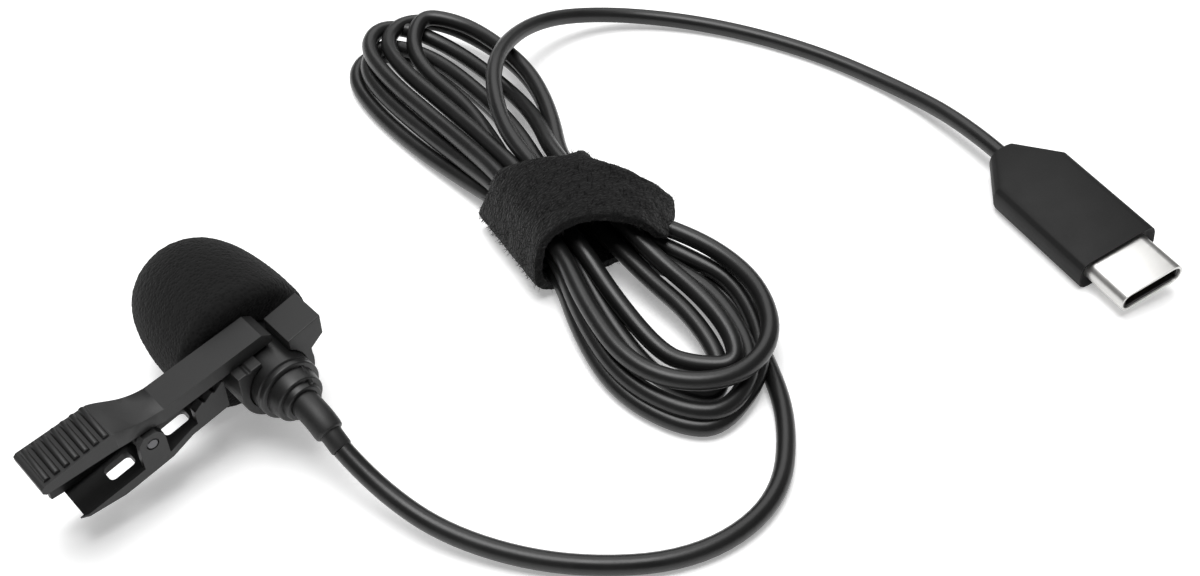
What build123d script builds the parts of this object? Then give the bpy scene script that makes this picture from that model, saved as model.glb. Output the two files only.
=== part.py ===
from build123d import *
from math import cos, pi, radians, sin, tan
import os

# Lavalier microphone with a foam windscreen, a sprung clip, a tied hank of thin cord and a USB-C plug.
# +Z is up and the surface it lies on is z = 0. +Y runs along the microphone towards the foam, and
# +X runs along the clip from its thumb pad to the ring that holds the microphone. Millimetres.

os.makedirs("parts", exist_ok=True)

# ---------------------------------------------------------------- driving dimensions
BODY_LENGTH_X = 32.0  # thumb pad's end to the foam's side
BODY_LENGTH_Y = 30.2  # strain relief's end to the foam's tip
FOAM_R = 7.6
BARREL_R = 3.3
RUN = 0.05  # radial clearance of a running fit
CORD_D = 2.0

PAD_X = -BODY_LENGTH_X / 2
MIC_X = BODY_LENGTH_X / 2 - FOAM_R
MIC_Z = FOAM_R
TIP_Y = BODY_LENGTH_Y / 2
EXIT_Y = -BODY_LENGTH_Y / 2

MIC = Plane(origin=(MIC_X, 0, MIC_Z), x_dir=(0, 1, 0), z_dir=(1, 0, 0))
MIC_AXIS = Axis((MIC_X, 0, MIC_Z), (0, 1, 0))

# foam
FOAM_BACK_Y = 0.2
FOAM_CAVITY_R = BARREL_R + RUN
FOAM_CAVITY_Y = 9.7
FOAM_EDGE = 1.6

# microphone barrel and what it holds, in order from the grille back
GRILLE_FRONT_Y = 9.4
BARREL_FRONT_Y = 9.0
BARREL_BACK_Y = -6.4
BARREL_BORE_R = 3.05
CAN_R = 3.0
CAN_WALL = 0.25
CAN_FRONT_Y = 8.3
CAN_BACK_Y = 5.6

# rear cap and strain relief
CAP_STEPS = [(-7.1, 3.3), (-7.1, 2.8), (-8.7, 2.6), (-8.7, 2.1), (-9.4, 2.0)]
CAP_BACK_Y = -9.4
SPIGOT_Y = -4.4
CAP_BORE_R = 1.6
SPIGOT_BORE_R = 2.3
SLEEVE_R = 1.5
SLEEVE_TAIL_R = 1.1
SLEEVE_ROOT_Y = -7.4
SLEEVE_BEND_Y = -11.23
SLEEVE_STEP_Y = -13.35
SLEEVE_DROOP = 25.0
SLEEVE_BEND_R = 6.0
WIRE_END_Y = -9.6
WIRE_BORE_R = 0.6

# clip
CLIP_Y = -1.9
PAD_HALF = 2.65
BAR_HALF = 1.75
BAR_START_X, BAR_START_Z = -3.0, 11.0
BAR_TIP_X, BAR_TIP_Z = 9.2, 13.0
BAR_THICK = 1.6
BAR_SLOPE = (BAR_TIP_Z - BAR_START_Z) / (BAR_TIP_X - BAR_START_X)
PAD_FOOT = (PAD_X + 0.3, 11.25)
PAD_TOP = (-8.5, 12.35)
PAD_RIBS = 7
RIB_PITCH = 1.02
RIB_R = 0.34
HINGE_X, HINGE_Z = -5.2, 8.3
PIN_R = 0.6
LUG_R = 1.25
LOWER_HALF = 2.45
JAW_HALF = 1.9
JAW_TIP_X = 3.3
LOWER_WALL = 0.8
TEETH = 5

# ring
RING_FRONT_Y, RING_BACK_Y = -0.8, -5.1
RING_IN_R = BARREL_R + RUN
RING_OUT_R = 4.2
BLOCK_X = (10.1, 14.0)
BLOCK_Z = (11.7, 12.7)
BLOCK_FOOT_Z = 10.3

# tie band round the hank's waist
WAIST_X, WAIST_Y = 47.6, -3.0
WAIST_TURN = -12.0
WAIST_W, WAIST_Z0, WAIST_Z1 = 10.8, 1.5, 7.6
BAND_WIDTH = 12.8
BAND_THICK = 1.3
BAND_GAP = 0.1

# plug
PLUG_X, PLUG_Y, PLUG_TURN = 92.3, -34.95, -104.8
PLUG_ROLL = 12.0  # it lies on its near bottom edge, held over by the cord's twist
PLUG_W, PLUG_T = 10.4, 4.0
PLUG_BODY = 15.0
PLUG_TAPER = 5.0
PLUG_ROUND = 1.5
SHELL_W, SHELL_T, SHELL_WALL = 8.34, 2.56, 0.28
SHELL_OUT = 5.4
PLUG_Z = 2.79
PLUG = Plane(
    origin=(PLUG_X, PLUG_Y, PLUG_Z),
    x_dir=(cos(radians(PLUG_TURN)), sin(radians(PLUG_TURN)), 0),
    z_dir=(
        sin(radians(PLUG_TURN)) * sin(radians(PLUG_ROLL)),
        -cos(radians(PLUG_TURN)) * sin(radians(PLUG_ROLL)),
        cos(radians(PLUG_ROLL)),
    ),
)
SHELL_BACK = 9.0
SHELL_TIP = PLUG_BODY + SHELL_OUT
TONGUE_BACK = SHELL_TIP - 6.5
BOARD_W, BOARD_T = 8.2, 0.8


def save(part, label):
    """Labels one finished piece and writes it to its own file."""
    part.label = label
    export_step(part, f"parts/{label}.step")


def plug_plane(x):
    """A plane across the plug, x forward of its shoulder, whose own x is the plug's width."""
    return Plane(origin=PLUG.from_local_coords((x, 0, 0)), x_dir=PLUG.y_dir, z_dir=PLUG.x_dir)


def bar_under(x):
    """Height of the upper lever's underside over x."""
    return BAR_START_Z + (x - BAR_START_X) * BAR_SLOPE - BAR_THICK


# ---------------------------------------------------------------- foam windscreen
with BuildPart() as foam:
    with BuildSketch(MIC):
        with BuildLine():
            Line((FOAM_BACK_Y, FOAM_CAVITY_R), (FOAM_BACK_Y, FOAM_R - FOAM_EDGE))
            JernArc((FOAM_BACK_Y, FOAM_R - FOAM_EDGE), (0, 1), FOAM_EDGE, -90)
            Line((FOAM_BACK_Y + FOAM_EDGE, FOAM_R), (4.0, FOAM_R))
            Spline(
                [(4.0, FOAM_R), (11.2, 6.55), (14.3, 4.1), (TIP_Y, 0)],
                tangents=[(1, 0), (0, -1)],
            )
            Polyline(
                (TIP_Y, 0),
                (FOAM_CAVITY_Y, 0),
                (FOAM_CAVITY_Y, FOAM_CAVITY_R),
                (FOAM_BACK_Y, FOAM_CAVITY_R),
            )
        make_face()
    revolve(axis=MIC_AXIS)
save(foam.part, "foam_windscreen")

# ---------------------------------------------------------------- microphone barrel
with BuildPart() as barrel:
    with BuildSketch(MIC):
        with BuildLine():
            Polyline(
                (BARREL_BACK_Y, BARREL_BORE_R),
                (BARREL_BACK_Y, BARREL_R - 0.2),
                (BARREL_BACK_Y + 0.2, BARREL_R),
                (BARREL_FRONT_Y, BARREL_R),
                (BARREL_FRONT_Y, BARREL_BORE_R),
                close=True,
            )
        make_face()
    revolve(axis=MIC_AXIS)
save(barrel.part, "front_housing")

with BuildPart() as grille:
    with BuildSketch(MIC):
        with BuildLine():
            Polyline(
                (8.75, 0),
                (8.75, BARREL_BORE_R),
                (BARREL_FRONT_Y, BARREL_BORE_R),
                (BARREL_FRONT_Y, BARREL_R),
                (GRILLE_FRONT_Y - 0.2, BARREL_R),
                (GRILLE_FRONT_Y, BARREL_R - 0.2),
                (GRILLE_FRONT_Y, 0),
                close=True,
            )
        make_face()
    revolve(axis=MIC_AXIS)
    with BuildSketch(Plane(origin=(MIC_X, 8.0, MIC_Z), x_dir=(1, 0, 0), z_dir=(0, 1, 0))):
        Circle(0.3)
        with PolarLocations(1.1, 6):
            Circle(0.3)
        with PolarLocations(2.2, 12):
            Circle(0.3)
    extrude(amount=2.5, mode=Mode.SUBTRACT)
save(grille.part, "capsule_grille")

with BuildPart() as felt:
    with BuildSketch(Plane(origin=(MIC_X, 8.37, MIC_Z), x_dir=(1, 0, 0), z_dir=(0, 1, 0))):
        Circle(CAN_R)
    extrude(amount=0.33)
save(felt.part, "dust_felt")

with BuildPart() as can:
    with BuildSketch(MIC):
        with BuildLine():
            Polyline(
                (CAN_BACK_Y, CAN_R - CAN_WALL),
                (CAN_BACK_Y, CAN_R),
                (CAN_FRONT_Y, CAN_R),
                (CAN_FRONT_Y, 0.5),
                (CAN_FRONT_Y - CAN_WALL, 0.5),
                (CAN_FRONT_Y - CAN_WALL, CAN_R - CAN_WALL),
                close=True,
            )
        make_face()
    revolve(axis=MIC_AXIS)
save(can.part, "capsule_can")


def disc(y0, y1, r_out, r_in=0.0):
    """A washer or disc on the microphone's axis, from y0 to y1."""
    with BuildPart() as washer:
        with BuildSketch(Plane(origin=(MIC_X, y0, MIC_Z), x_dir=(1, 0, 0), z_dir=(0, 1, 0))):
            Circle(r_out)
            if r_in:
                Circle(r_in, mode=Mode.SUBTRACT)
        extrude(amount=y1 - y0)
    return washer.part


CAPSULE_IN_R = CAN_R - CAN_WALL - 0.05
save(disc(7.66, 7.98, CAPSULE_IN_R, 2.3), "diaphragm_ring")
save(disc(7.56, 7.66, CAPSULE_IN_R), "diaphragm")
save(disc(7.36, 7.56, CAPSULE_IN_R, 2.3), "spacer_ring")
save(disc(6.3, 6.9, CAPSULE_IN_R, 2.2), "capsule_insulator")
save(disc(CAN_BACK_Y + 0.1, 6.3, CAPSULE_IN_R), "fet_board")
save(disc(4.7, CAN_BACK_Y, CAN_R, 1.7), "capsule_gasket")

with BuildPart() as backplate:
    with BuildSketch(Plane(origin=(MIC_X, 6.9, MIC_Z), x_dir=(1, 0, 0), z_dir=(0, 1, 0))):
        Circle(CAPSULE_IN_R)
        with PolarLocations(1.4, 6):
            Circle(0.25, mode=Mode.SUBTRACT)
    extrude(amount=0.46)
save(backplate.part, "backplate")

with BuildPart() as fet:
    with BuildSketch(Plane(origin=(MIC_X, 6.3, MIC_Z), x_dir=(1, 0, 0), z_dir=(0, 1, 0))):
        Rectangle(1.3, 1.0)
    extrude(amount=0.45)
save(fet.part, "fet_chip")

# ---------------------------------------------------------------- rear cap, crimp, strain relief, wires
with BuildPart() as rear:
    with BuildSketch(MIC):
        with BuildLine():
            Polyline(
                (SPIGOT_Y, SPIGOT_BORE_R),
                (SPIGOT_Y, BARREL_BORE_R),
                (BARREL_BACK_Y, BARREL_BORE_R),
                (BARREL_BACK_Y, BARREL_R),
                *CAP_STEPS,
                (CAP_BACK_Y, SLEEVE_R),
                (SLEEVE_ROOT_Y, SLEEVE_R),
                (SLEEVE_ROOT_Y, CAP_BORE_R),
                (BARREL_BACK_Y, SPIGOT_BORE_R),
                close=True,
            )
        make_face()
    revolve(axis=MIC_AXIS)
    collar_edges = rear.edges().filter_by(GeomType.CIRCLE).group_by(Axis.Y)[:4]
    chamfer([e for group in collar_edges for e in group if e.radius > 2.0], length=0.18)
save(rear.part, "rear_housing")

save(disc(SLEEVE_ROOT_Y, -6.0, 1.45, WIRE_BORE_R), "cable_crimp")


def sleeve_path(end_y):
    """The strain relief's middle from its root to a place along the microphone, drooping past its bend."""
    return [
        (MIC_X, SLEEVE_ROOT_Y, MIC_Z),
        (MIC_X, SLEEVE_BEND_Y, MIC_Z),
        (MIC_X, end_y, MIC_Z + (end_y - SLEEVE_BEND_Y) * tan(radians(SLEEVE_DROOP))),
    ]


SLEEVE_END = sleeve_path(EXIT_Y)[-1]
with BuildPart() as sleeve:
    for end_y, radius in ((SLEEVE_STEP_Y, SLEEVE_R), (EXIT_Y, SLEEVE_TAIL_R)):
        with BuildLine() as sleeve_line:
            FilletPolyline(*sleeve_path(end_y), radius=SLEEVE_BEND_R)
        with BuildSketch(Plane(origin=sleeve_line.line @ 0, z_dir=sleeve_line.line % 0)):
            Circle(radius)
        sweep(path=sleeve_line.line)
    with BuildSketch(Plane(origin=(MIC_X, WIRE_END_Y, MIC_Z), x_dir=(1, 0, 0), z_dir=(0, 1, 0))):
        Circle(WIRE_BORE_R)
    extrude(amount=SLEEVE_ROOT_Y - WIRE_END_Y + 1, mode=Mode.SUBTRACT)
print("strain relief ends at", SLEEVE_END)
save(sleeve.part, "strain_relief")

with BuildPart() as wires:
    with BuildSketch(Plane(origin=(MIC_X, WIRE_END_Y, MIC_Z), x_dir=(1, 0, 0), z_dir=(0, 1, 0))):
        with GridLocations(0.56, 0, 2, 1):
            Circle(0.24)
    extrude(amount=CAN_BACK_Y + 0.1 - WIRE_END_Y)
save(wires.part, "signal_wires")

# ---------------------------------------------------------------- clip: upper lever
with BuildPart() as upper:
    with BuildSketch(Plane.XZ.offset(-CLIP_Y)):
        with BuildLine():
            Polyline(
                (PAD_X + 0.3, 10.15),
                (PAD_X, 10.45),
                (PAD_X, 10.95),
                PAD_FOOT,
                PAD_TOP,
            )
            Spline([PAD_TOP, (-5.6, 11.3), (BAR_START_X, BAR_START_Z)], tangents=[(1, -0.25), (1, 0)])
            Polyline(
                (BAR_START_X, BAR_START_Z),
                (BAR_TIP_X - 1.0, BAR_TIP_Z - BAR_SLOPE),
                (BAR_TIP_X, BAR_TIP_Z - 0.75),
                (BAR_TIP_X, bar_under(BAR_TIP_X)),
                (BAR_START_X, bar_under(BAR_START_X)),
                (-8.5, 10.25),
                (PAD_X + 0.3, 10.15),
            )
        make_face()
    extrude(amount=PAD_HALF, both=True)
    with BuildSketch(Plane.XY.offset(9.0)):
        with BuildLine():
            Polyline((BAR_TIP_X, CLIP_Y - BAR_HALF), (BAR_START_X, CLIP_Y - BAR_HALF - 0.05))
            Spline(
                [(BAR_START_X, CLIP_Y - BAR_HALF - 0.05), (-8.3, CLIP_Y - PAD_HALF + 0.25)],
                tangents=[(-1, 0), (-1, -0.1)],
            )
            Polyline(
                (-8.3, CLIP_Y - PAD_HALF + 0.25),
                (PAD_X, CLIP_Y - PAD_HALF),
                (PAD_X, CLIP_Y + PAD_HALF),
                (-8.3, CLIP_Y + PAD_HALF - 0.25),
            )
            Spline(
                [(-8.3, CLIP_Y + PAD_HALF - 0.25), (BAR_START_X, CLIP_Y + BAR_HALF + 0.05)],
                tangents=[(1, -0.1), (1, 0)],
            )
            Polyline(
                (BAR_START_X, CLIP_Y + BAR_HALF + 0.05),
                (BAR_TIP_X, CLIP_Y + BAR_HALF),
                (BAR_TIP_X, CLIP_Y - BAR_HALF),
            )
        make_face()
    extrude(amount=6.0, mode=Mode.INTERSECT)
    rib_slope = (PAD_TOP[1] - PAD_FOOT[1]) / (PAD_TOP[0] - PAD_FOOT[0])
    for rib in range(PAD_RIBS):
        rib_x = PAD_X + 0.9 + rib * RIB_PITCH
        rib_z = PAD_FOOT[1] + (rib_x - PAD_FOOT[0]) * rib_slope
        with BuildSketch(Plane.XZ.offset(-CLIP_Y)):
            with Locations((rib_x, rib_z)):
                Circle(RIB_R)
        extrude(amount=PAD_HALF - 0.4, both=True)
    with BuildSketch(Plane.XZ.offset(-CLIP_Y)):
        with BuildLine():
            Polyline(
                (HINGE_X - LUG_R, 10.4),
                (HINGE_X - LUG_R, HINGE_Z),
            )
            ThreePointArc(
                (HINGE_X - LUG_R, HINGE_Z), (HINGE_X, HINGE_Z - LUG_R), (HINGE_X + LUG_R, HINGE_Z)
            )
            Polyline(
                (HINGE_X + LUG_R, HINGE_Z),
                (HINGE_X + LUG_R, 10.4),
                (HINGE_X - LUG_R, 10.4),
            )
        make_face()
    extrude(amount=1.45, both=True)
    with BuildSketch(Plane.XZ.offset(-CLIP_Y)):
        with Locations((HINGE_X, HINGE_Z + 0.05)):
            Rectangle(2.6, 2.8)
    extrude(amount=0.85, both=True, mode=Mode.SUBTRACT)
    with BuildSketch(Plane.XZ.offset(-CLIP_Y)):
        with Locations((HINGE_X, HINGE_Z)):
            Circle(PIN_R)
    extrude(amount=3, both=True, mode=Mode.SUBTRACT)
save(upper.part, "clip_upper_lever")

# ---------------------------------------------------------------- clip: ring round the barrel
with BuildPart() as ring:
    with BuildSketch(Plane.XZ.offset(-RING_FRONT_Y)):
        with Locations((MIC_X, MIC_Z)):
            Circle(RING_OUT_R)
        with BuildLine():
            Polyline(
                (BLOCK_X[0], 9.0),
                (BLOCK_X[0], BLOCK_Z[0]),
                (BLOCK_X[1], BLOCK_Z[1]),
                (BLOCK_X[1], BLOCK_FOOT_Z),
                (MIC_X + RING_OUT_R - 0.1, BLOCK_FOOT_Z - 1.2),
                (MIC_X + RING_OUT_R - 0.1, MIC_Z),
                (BLOCK_X[0], 9.0),
            )
        make_face()
        with BuildLine():
            Polyline(
                (MIC_X - RING_OUT_R, MIC_Z),
                (MIC_X - RING_OUT_R, 10.0),
                (4.2, bar_under(4.2) + 0.5),
                (6.0, 10.4),
                (5.0, MIC_Z),
                (MIC_X - RING_OUT_R, MIC_Z),
            )
        make_face()
        with Locations((MIC_X, MIC_Z)):
            Circle(RING_IN_R, mode=Mode.SUBTRACT)
        with BuildLine():
            Polyline(
                (0, bar_under(0)),
                (9.8, bar_under(9.8)),
                (9.8, 10.2),
                (BLOCK_X[0], 10.2),
                (BLOCK_X[0], 14.0),
                (0, 14.0),
                (0, bar_under(0)),
            )
        make_face(mode=Mode.SUBTRACT)
        with BuildLine():
            Polyline(
                (6.9, 9.0), (6.9, 12.5), (9.8, 12.5), (9.8, 9.0), (6.9, 9.0)
            )
        make_face(mode=Mode.SUBTRACT)
    extrude(amount=RING_FRONT_Y - RING_BACK_Y)
save(ring.part, "mic_holder_ring")

# ---------------------------------------------------------------- clip: lower lever
FLOOR_LINE = [(-14.6, 3.55), (-12.9, 3.17), (0.0, 5.95), (JAW_TIP_X, 6.66)]
FLOOR_THICK = 0.9
FLOOR_SLOPE = (FLOOR_LINE[2][1] - FLOOR_LINE[1][1]) / (FLOOR_LINE[2][0] - FLOOR_LINE[1][0])
CHEEK_X = (HINGE_X - 1.4, HINGE_X + 1.4)
CHEEK_HALF = LOWER_HALF - LOWER_WALL
NEAR_WALL = 0.5
FAR_WALL = 0.6
WALL_X = -0.3
NEAR_LIP = 0.3
FAR_WALL_Z = 5.6
TOOTH_X0, TOOTH_Z0, TOOTH_Z1 = -2.6, 7.7, 10.3
TOOTH_PITCH = (JAW_TIP_X - TOOTH_X0) / TEETH
TOOTH_RISE = (TOOTH_Z1 - TOOTH_Z0) / TEETH


def floor_top(x):
    """Height of the lower lever's floor over x."""
    return FLOOR_LINE[1][1] + (x - FLOOR_LINE[1][0]) * FLOOR_SLOPE + FLOOR_THICK


teeth_line = []
for tooth in range(TEETH):
    tooth_x = TOOTH_X0 + tooth * TOOTH_PITCH
    tooth_z = TOOTH_Z0 + tooth * TOOTH_RISE
    teeth_line.append((tooth_x, tooth_z - 0.35))
    teeth_line.append((tooth_x + TOOTH_PITCH * 0.8, tooth_z + TOOTH_RISE * 0.8))

with BuildPart() as lower:
    with BuildSketch(Plane.XZ.offset(-CLIP_Y)):
        with BuildLine():
            Polyline(
                *FLOOR_LINE,
                (JAW_TIP_X, TOOTH_Z1 - 0.2),
                *reversed(teeth_line),
                (-3.75, 7.6),
                (HINGE_X + 1.3, HINGE_Z + 0.6),
                (HINGE_X + 0.7, HINGE_Z + 1.3),
                (HINGE_X - 0.7, HINGE_Z + 1.3),
                (HINGE_X - 1.3, HINGE_Z + 0.6),
                (CHEEK_X[0], 6.9),
                (-13.4, FAR_WALL_Z),
                (-14.2, FAR_WALL_Z - 0.3),
                (-14.6, FAR_WALL_Z - 0.9),
                FLOOR_LINE[0],
            )
        make_face()
    extrude(amount=LOWER_HALF, both=True)
    with BuildSketch(Plane.XY.offset(4.0)):
        with BuildLine():
            Polyline(
                (-14.0, CLIP_Y - 1.2),
                (-13.6, CLIP_Y - 2.0),
                (-12.8, CLIP_Y - 2.35),
                (-8.0, CLIP_Y - LOWER_HALF),
                (-3.6, CLIP_Y - LOWER_HALF),
                (-1.0, CLIP_Y - JAW_HALF),
                (JAW_TIP_X, CLIP_Y - JAW_HALF),
                (JAW_TIP_X, CLIP_Y + JAW_HALF),
                (-1.0, CLIP_Y + JAW_HALF),
                (-3.6, CLIP_Y + LOWER_HALF),
                (-8.0, CLIP_Y + LOWER_HALF),
                (-14.6, CLIP_Y + 2.3),
                close=True,
            )
        make_face()
    extrude(amount=8.0, mode=Mode.INTERSECT)
    with BuildSketch(Plane.XZ.offset(-CLIP_Y)):
        with BuildLine():
            Polyline(
                *[(x, z + FLOOR_THICK) for x, z in FLOOR_LINE[:3]],
                (JAW_TIP_X - 0.8, 7.5 + FLOOR_THICK),
                (JAW_TIP_X - 0.8, 12.0),
                (-14.0, 12.0),
                (-14.0, FLOOR_LINE[0][1] + FLOOR_THICK),
                close=True,
            )
        make_face()
    extrude(amount=JAW_HALF - LOWER_WALL, both=True, mode=Mode.SUBTRACT)
    cuts = (
        (-15.0, CHEEK_X[0], 0.0, CLIP_Y - LOWER_HALF + NEAR_WALL, CLIP_Y + LOWER_HALF - FAR_WALL),
        (-15.0, CHEEK_X[0], NEAR_LIP, CLIP_Y - 4.0, CLIP_Y + LOWER_HALF - FAR_WALL),
        (CHEEK_X[0], CHEEK_X[1], 0.0, CLIP_Y - CHEEK_HALF, CLIP_Y + CHEEK_HALF),
        (CHEEK_X[1], WALL_X, 0.0, CLIP_Y - 4.0, CLIP_Y + 4.0),
    )
    for start_x, end_x, above, near_y, far_y in cuts:
        with BuildSketch(Plane.XZ.offset(-far_y)):
            with BuildLine():
                Polyline(
                    (start_x, floor_top(start_x) + above),
                    (end_x, floor_top(end_x) + above),
                    (end_x, 12.0),
                    (start_x, 12.0),
                    close=True,
                )
            make_face()
        extrude(amount=far_y - near_y, mode=Mode.SUBTRACT)
    with BuildSketch(Plane.XY.offset(2.5)):
        with Locations((-8.05, CLIP_Y + 0.15), (-1.75, CLIP_Y + 0.2)):
            RectangleRounded(2.8, 1.9, 0.5)
    extrude(amount=4.6, mode=Mode.SUBTRACT)
    with BuildSketch(Plane.XZ.offset(-CLIP_Y)):
        with Locations((HINGE_X, HINGE_Z)):
            Circle(PIN_R + RUN)
    extrude(amount=4, both=True, mode=Mode.SUBTRACT)
save(lower.part, "clip_lower_lever")

with BuildPart() as pin:
    with BuildSketch(Plane.XZ.offset(-CLIP_Y)):
        with Locations((HINGE_X, HINGE_Z)):
            Circle(PIN_R)
    extrude(amount=LOWER_HALF, both=True)
    chamfer(pin.edges().filter_by(GeomType.CIRCLE), length=0.12)
save(pin.part, "hinge_pin")

SPRING_R, SPRING_WIRE = 0.92, 0.36
SPRING_TURNS, SPRING_PITCH = 3.0, 0.42
spring_y = CLIP_Y + SPRING_TURNS * SPRING_PITCH / 2
with BuildPart() as spring:
    with BuildLine() as spring_line:
        Helix(
            pitch=SPRING_PITCH,
            height=SPRING_TURNS * SPRING_PITCH,
            radius=SPRING_R,
            center=(HINGE_X, spring_y, HINGE_Z),
            direction=(0, -1, 0),
        )
    with BuildSketch(Plane(origin=spring_line.line @ 0, z_dir=spring_line.line % 0)):
        Circle(SPRING_WIRE / 2)
    sweep()
save(spring.part, "torsion_spring")

# ---------------------------------------------------------------- cord leads
MIC_LEAD = [
    SLEEVE_END,
    (8.8, -19.6, 3.7),
    (11.1, -28.1, 1.9),
    (17.2, -37.4, 1.05),
    (26.6, -45.0, 1.05),
    (37.2, -45.8, 1.05),
    (45.6, -39.4, 1.05),
    (50.6, -31.2, 1.05),
]
PLUG_EXIT = PLUG.from_local_coords((-PLUG_TAPER, 0, 0))
PLUG_LEAD = [
    (PLUG_EXIT.X, PLUG_EXIT.Y, PLUG_EXIT.Z),
    (95.2, -23.2, 2.8),
    (96.7, -12.5, 1.2),
    (94.8, 0.8, 1.05),
    (89.4, 14.0, 1.05),
    (80.6, 24.2, 1.8),
    (69.4, 26.8, 4.8),
    (57.6, 21.3, 7.8),
    (50.3, 11.4, 7.6),
    (48.4, 2.6, 6.6),
]


def lead(points, label):
    """A round tube along straight runs joined by tangent arcs. Prints the arcs' radii."""
    corners = [Vector(*p) for p in points]
    runs = [b - a for a, b in zip(corners, corners[1:])]
    radii = []
    for before, after in zip(runs, runs[1:]):
        half_turn = radians(before.get_angle(after)) / 2
        radii.append(0.45 * min(before.length, after.length) / tan(half_turn))
    with BuildPart() as tube:
        with BuildLine() as route:
            FilletPolyline(*corners, radius=radii)
        with BuildSketch(Plane(origin=route.line @ 0, z_dir=route.line % 0)):
            Circle(CORD_D / 2)
        sweep()
    length = sum(edge.length for edge in route.edges())
    print(label, "runs", [round(r.length, 1) for r in runs])
    print(label, "radii", [round(r, 1) for r in radii], "length", round(length, 1))
    print(label, "volume", round(tube.part.volume, 1), "of", round(length * pi * CORD_D**2 / 4, 1))
    save(tube.part, label)
    return length


lead(MIC_LEAD, "cord_mic_lead")
lead(PLUG_LEAD, "cord_plug_lead")

# ---------------------------------------------------------------- tied hank: two open loops and a waist
FAR_LOOP = [
    (44.2, 5.5),
    (43.4, 15.0),
    (43.6, 25.0),
    (45.8, 33.6),
    (50.8, 39.4),
    (57.6, 40.4),
    (62.8, 36.4),
    (64.4, 28.0),
    (62.6, 17.0),
    (56.2, 6.0),
]
NEAR_LOOP = [
    (42.0, -11.0),
    (37.6, -18.0),
    (35.2, -26.5),
    (36.6, -33.0),
    (42.0, -36.4),
    (49.8, -34.0),
    (55.2, -28.0),
    (56.0, -20.0),
    (52.0, -11.0),
]
FAR_HOLE = [
    (53.6, 12.0),
    (53.2, 20.0),
    (54.2, 29.5),
    (55.6, 32.5),
    (56.6, 27.5),
    (56.2, 19.0),
]
NEAR_HOLE = [
    (47.2, -12.5),
    (44.0, -18.0),
    (43.0, -24.0),
    (44.6, -26.5),
    (46.4, -23.0),
    (48.2, -17.0),
]
LOOP_HEIGHT = 7.0
BAND_SPAN = BAND_WIDTH + 2 * BAND_GAP
HANK_WIDE = 40.0

WAIST = Plane(
    origin=(WAIST_X, WAIST_Y, 0),
    x_dir=(cos(radians(WAIST_TURN)), sin(radians(WAIST_TURN)), 0),
    z_dir=(0, 0, 1),
)
with BuildPart() as hank:
    for loop, hole in ((FAR_LOOP, FAR_HOLE), (NEAR_LOOP, NEAR_HOLE)):
        with BuildSketch(Plane.XY):
            with BuildLine():
                Spline(loop, periodic=True)
            make_face()
            with BuildLine():
                Spline(hole, periodic=True)
            make_face(mode=Mode.SUBTRACT)
        extrude(amount=LOOP_HEIGHT)
    with BuildSketch(WAIST.offset(WAIST_Z0)):
        Rectangle(WAIST_W, 22.0)
    extrude(amount=WAIST_Z1 - WAIST_Z0)
    with BuildSketch(WAIST):
        Rectangle(HANK_WIDE, BAND_SPAN)
        Rectangle(WAIST_W, 30.0, mode=Mode.SUBTRACT)
    extrude(amount=20.0, mode=Mode.SUBTRACT)
    with BuildSketch(WAIST):
        Rectangle(HANK_WIDE, BAND_SPAN)
    extrude(amount=WAIST_Z0, mode=Mode.SUBTRACT)
save(hank.part, "cord_hank")

WAIST_ACROSS = Plane(origin=(WAIST_X, WAIST_Y, 0), x_dir=WAIST.x_dir, z_dir=-WAIST.y_dir)
with BuildPart() as band:
    with BuildSketch(WAIST_ACROSS):
        with Locations((0, (WAIST_Z0 + WAIST_Z1) / 2)):
            RectangleRounded(
                WAIST_W + 2 * (BAND_GAP + BAND_THICK),
                WAIST_Z1 - WAIST_Z0 + 2 * (BAND_GAP + BAND_THICK),
                1.6,
            )
            Rectangle(
                WAIST_W + 2 * BAND_GAP, WAIST_Z1 - WAIST_Z0 + 2 * BAND_GAP, mode=Mode.SUBTRACT
            )
    extrude(amount=BAND_WIDTH / 2, both=True)
save(band.part, "tie_band")

# ---------------------------------------------------------------- plug
with BuildPart() as overmould:
    with BuildSketch(plug_plane(0)):
        RectangleRounded(PLUG_W, PLUG_T, PLUG_ROUND)
    extrude(amount=PLUG_BODY)
    with BuildSketch(plug_plane(0)):
        RectangleRounded(PLUG_W, PLUG_T, PLUG_ROUND)
    with BuildSketch(plug_plane(-PLUG_TAPER)):
        RectangleRounded(3.8, 3.1, 1.0)
    loft()
    with BuildSketch(plug_plane(PLUG_BODY - 0.5)):
        Rectangle(8.8, 2.9)
    extrude(amount=1.0, mode=Mode.SUBTRACT)
    with BuildSketch(plug_plane(1.0)):
        Rectangle(8.4, 2.7)
    extrude(amount=SHELL_BACK - 1.0, mode=Mode.SUBTRACT)
    with BuildSketch(plug_plane(SHELL_BACK)):
        RectangleRounded(SHELL_W, SHELL_T, SHELL_T / 2 - 0.01)
    extrude(amount=PLUG_BODY, mode=Mode.SUBTRACT)
save(overmould.part, "plug_overmould")

with BuildPart() as shell:
    with BuildSketch(plug_plane(SHELL_BACK)):
        RectangleRounded(SHELL_W, SHELL_T, SHELL_T / 2 - 0.01)
        RectangleRounded(
            SHELL_W - 2 * SHELL_WALL,
            SHELL_T - 2 * SHELL_WALL,
            SHELL_T / 2 - SHELL_WALL - 0.01,
            mode=Mode.SUBTRACT,
        )
    extrude(amount=SHELL_TIP - SHELL_BACK)
save(shell.part, "plug_shell")

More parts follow.
